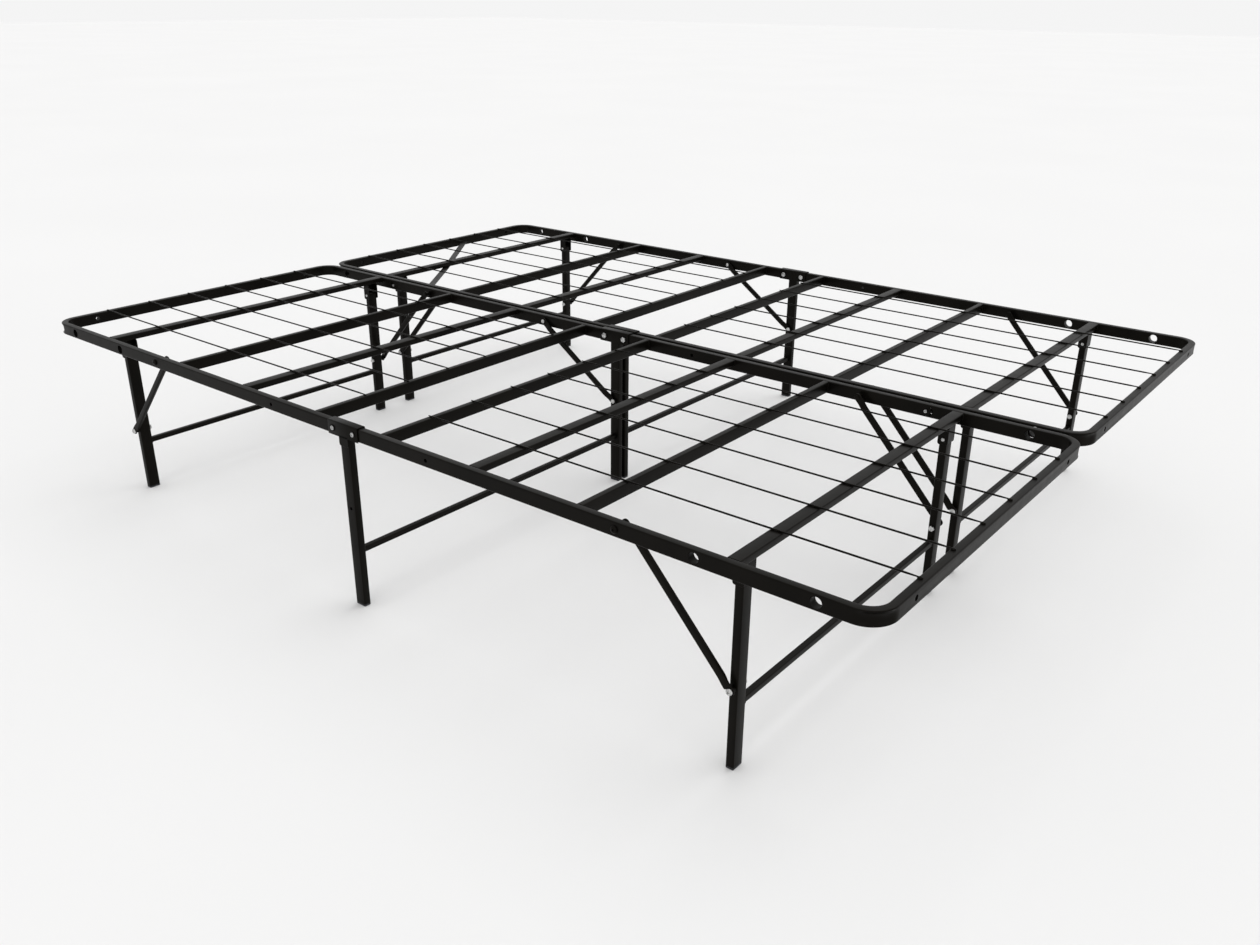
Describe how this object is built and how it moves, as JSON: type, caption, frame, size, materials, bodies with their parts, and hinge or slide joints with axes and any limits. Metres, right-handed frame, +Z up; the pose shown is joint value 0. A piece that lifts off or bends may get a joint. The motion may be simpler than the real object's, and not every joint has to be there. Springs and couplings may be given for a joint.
{
  "type": "folding platform bed frame",
  "caption": "Folding steel platform bed frame: two narrow units side by side, hinged at mid-length, with slats, wires and folding braced legs.",
  "frame": {"origin": "On the floor, under the middle of the bed.", "axes": "+X along the bed, +Y from the near long side to the far one, +Z up."},
  "size_m": [2.032, 1.5244, 0.3593],
  "materials": {
    "black_steel": "semi-gloss black powder coat",
    "zinc_bolt": "bright zinc plate",
    "black_plastic": "moulded matt"
  },
  "bodies": {
    "middle": {"centre_legs_near": "black_steel", "foot_cap_near_centre_near": "black_plastic", "hinge_bolt_near_left_near": "zinc_bolt", "hinge_bolt_near_right_near": "zinc_bolt", "foot_cap_near_centre_far": "black_plastic", "hinge_bolt_near_left_far": "zinc_bolt", "hinge_bolt_near_right_far": "zinc_bolt", "centre_legs_far": "black_steel", "foot_cap_far_centre_near": "black_plastic", "hinge_bolt_far_left_near": "zinc_bolt", "hinge_bolt_far_right_near": "zinc_bolt", "foot_cap_far_centre_far": "black_plastic", "hinge_bolt_far_left_far": "zinc_bolt", "hinge_bolt_far_right_far": "zinc_bolt"},
    "left_deck": {"rim_near_left": "black_steel", "end_slat_near_left": "black_steel", "second_slat_near_left": "black_steel", "third_slat_near_left": "black_steel", "wire_grid_near_left": "black_steel", "rim_far_left": "black_steel", "end_slat_far_left": "black_steel", "second_slat_far_left": "black_steel", "third_slat_far_left": "black_steel", "wire_grid_far_left": "black_steel", "joiner_bolt_left": "zinc_bolt", "strap_far_left": "black_steel"},
    "right_deck": {"rim_near_right": "black_steel", "end_slat_near_right": "black_steel", "second_slat_near_right": "black_steel", "third_slat_near_right": "black_steel", "wire_grid_near_right": "black_steel", "rim_far_right": "black_steel", "end_slat_far_right": "black_steel", "second_slat_far_right": "black_steel", "third_slat_far_right": "black_steel", "wire_grid_far_right": "black_steel", "joiner_bolt_right": "zinc_bolt"},
    "end_legs_near_left": {"end_legs_near_left": "black_steel", "foot_cap_near_left_near": "black_plastic", "foot_cap_near_left_far": "black_plastic"},
    "brace_near_left_near": {"brace_near_left_near": "black_steel"},
    "brace_near_left_far": {"brace_near_left_far": "black_steel"},
    "end_legs_near_right": {"end_legs_near_right": "black_steel", "foot_cap_near_right_near": "black_plastic", "foot_cap_near_right_far": "black_plastic"},
    "brace_near_right_near": {"brace_near_right_near": "black_steel"},
    "brace_near_right_far": {"brace_near_right_far": "black_steel"},
    "centre_brace_near": {"centre_brace_near": "black_steel"},
    "end_legs_far_left": {"end_legs_far_left": "black_steel", "foot_cap_far_left_near": "black_plastic", "foot_cap_far_left_far": "black_plastic"},
    "brace_far_left_near": {"brace_far_left_near": "black_steel"},
    "brace_far_left_far": {"brace_far_left_far": "black_steel"},
    "end_legs_far_right": {"end_legs_far_right": "black_steel", "foot_cap_far_right_near": "black_plastic", "foot_cap_far_right_far": "black_plastic"},
    "brace_far_right_near": {"brace_far_right_near": "black_steel"},
    "brace_far_right_far": {"brace_far_right_far": "black_steel"},
    "centre_brace_far": {"centre_brace_far": "black_steel"}
  },
  "joints": [
    {"name": "left_fold", "type": "hinge", "parent": "middle", "child": "left_deck", "pos_m": [-0.0269, 0, 0.344], "axis": [0, -1, 0], "range_deg": [0, 88]},
    {"name": "right_fold", "type": "hinge", "parent": "middle", "child": "right_deck", "pos_m": [0.0269, 0, 0.344], "axis": [0, 1, 0], "range_deg": [0, 88]},
    {"name": "leg_fold_near_left", "type": "hinge", "parent": "left_deck", "child": "end_legs_near_left", "pos_m": [-0.7896, -0.38125, 0.316], "axis": [0, -1, 0], "range_deg": [0, 90]},
    {"name": "brace_swing_near_left_near", "type": "hinge", "parent": "left_deck", "child": "brace_near_left_near", "pos_m": [-0.6005, -0.758, 0.344], "axis": [0, 1, 0], "range_deg": [0, 42.57]},
    {"name": "brace_swing_near_left_far", "type": "hinge", "parent": "left_deck", "child": "brace_near_left_far", "pos_m": [-0.6005, -0.0045, 0.344], "axis": [0, 1, 0], "range_deg": [0, 42.57]},
    {"name": "leg_fold_near_right", "type": "hinge", "parent": "right_deck", "child": "end_legs_near_right", "pos_m": [0.7896, -0.38125, 0.316], "axis": [0, 1, 0], "range_deg": [0, 90]},
    {"name": "brace_swing_near_right_near", "type": "hinge", "parent": "right_deck", "child": "brace_near_right_near", "pos_m": [0.6005, -0.758, 0.344], "axis": [0, -1, 0], "range_deg": [0, 42.57]},
    {"name": "brace_swing_near_right_far", "type": "hinge", "parent": "right_deck", "child": "brace_near_right_far", "pos_m": [0.6005, -0.0045, 0.344], "axis": [0, -1, 0], "range_deg": [0, 42.57]},
    {"name": "centre_brace_swing_near", "type": "hinge", "parent": "left_deck", "child": "centre_brace_near", "pos_m": [-0.208, -0.0045, 0.344], "axis": [0, 1, 0], "range_deg": [0, 138.42]},
    {"name": "leg_fold_far_left", "type": "hinge", "parent": "left_deck", "child": "end_legs_far_left", "pos_m": [-0.7896, 0.38125, 0.316], "axis": [0, -1, 0], "range_deg": [0, 90]},
    {"name": "brace_swing_far_left_near", "type": "hinge", "parent": "left_deck", "child": "brace_far_left_near", "pos_m": [-0.6005, 0.0045, 0.344], "axis": [0, 1, 0], "range_deg": [0, 35.1]},
    {"name": "brace_swing_far_left_far", "type": "hinge", "parent": "left_deck", "child": "brace_far_left_far", "pos_m": [-0.6005, 0.758, 0.344], "axis": [0, 1, 0], "range_deg": [0, 42.57]},
    {"name": "leg_fold_far_right", "type": "hinge", "parent": "right_deck", "child": "end_legs_far_right", "pos_m": [0.7896, 0.38125, 0.316], "axis": [0, 1, 0], "range_deg": [0, 90]},
    {"name": "brace_swing_far_right_near", "type": "hinge", "parent": "right_deck", "child": "brace_far_right_near", "pos_m": [0.6005, 0.0045, 0.344], "axis": [0, -1, 0], "range_deg": [0, 42.57]},
    {"name": "brace_swing_far_right_far", "type": "hinge", "parent": "right_deck", "child": "brace_far_right_far", "pos_m": [0.6005, 0.758, 0.344], "axis": [0, -1, 0], "range_deg": [0, 42.57]},
    {"name": "centre_brace_swing_far", "type": "hinge", "parent": "left_deck", "child": "centre_brace_far", "pos_m": [-0.208, 0.758, 0.344], "axis": [0, 1, 0], "range_deg": [0, 138.42]}
  ],
  "couplings": [
    {"joint": "brace_swing_near_left_near", "follows": "leg_fold_near_left", "ratio": 0.473},
    {"joint": "brace_swing_near_left_far", "follows": "leg_fold_near_left", "ratio": 0.473},
    {"joint": "brace_swing_near_right_near", "follows": "leg_fold_near_right", "ratio": 0.473},
    {"joint": "brace_swing_near_right_far", "follows": "leg_fold_near_right", "ratio": 0.473},
    {"joint": "centre_brace_swing_near", "follows": "left_fold", "ratio": 1.573},
    {"joint": "brace_swing_far_left_near", "follows": "leg_fold_far_left", "ratio": 0.39},
    {"joint": "brace_swing_far_left_far", "follows": "leg_fold_far_left", "ratio": 0.473},
    {"joint": "brace_swing_far_right_near", "follows": "leg_fold_far_right", "ratio": 0.473},
    {"joint": "brace_swing_far_right_far", "follows": "leg_fold_far_right", "ratio": 0.473},
    {"joint": "centre_brace_swing_far", "follows": "left_fold", "ratio": 1.573}
  ]
}
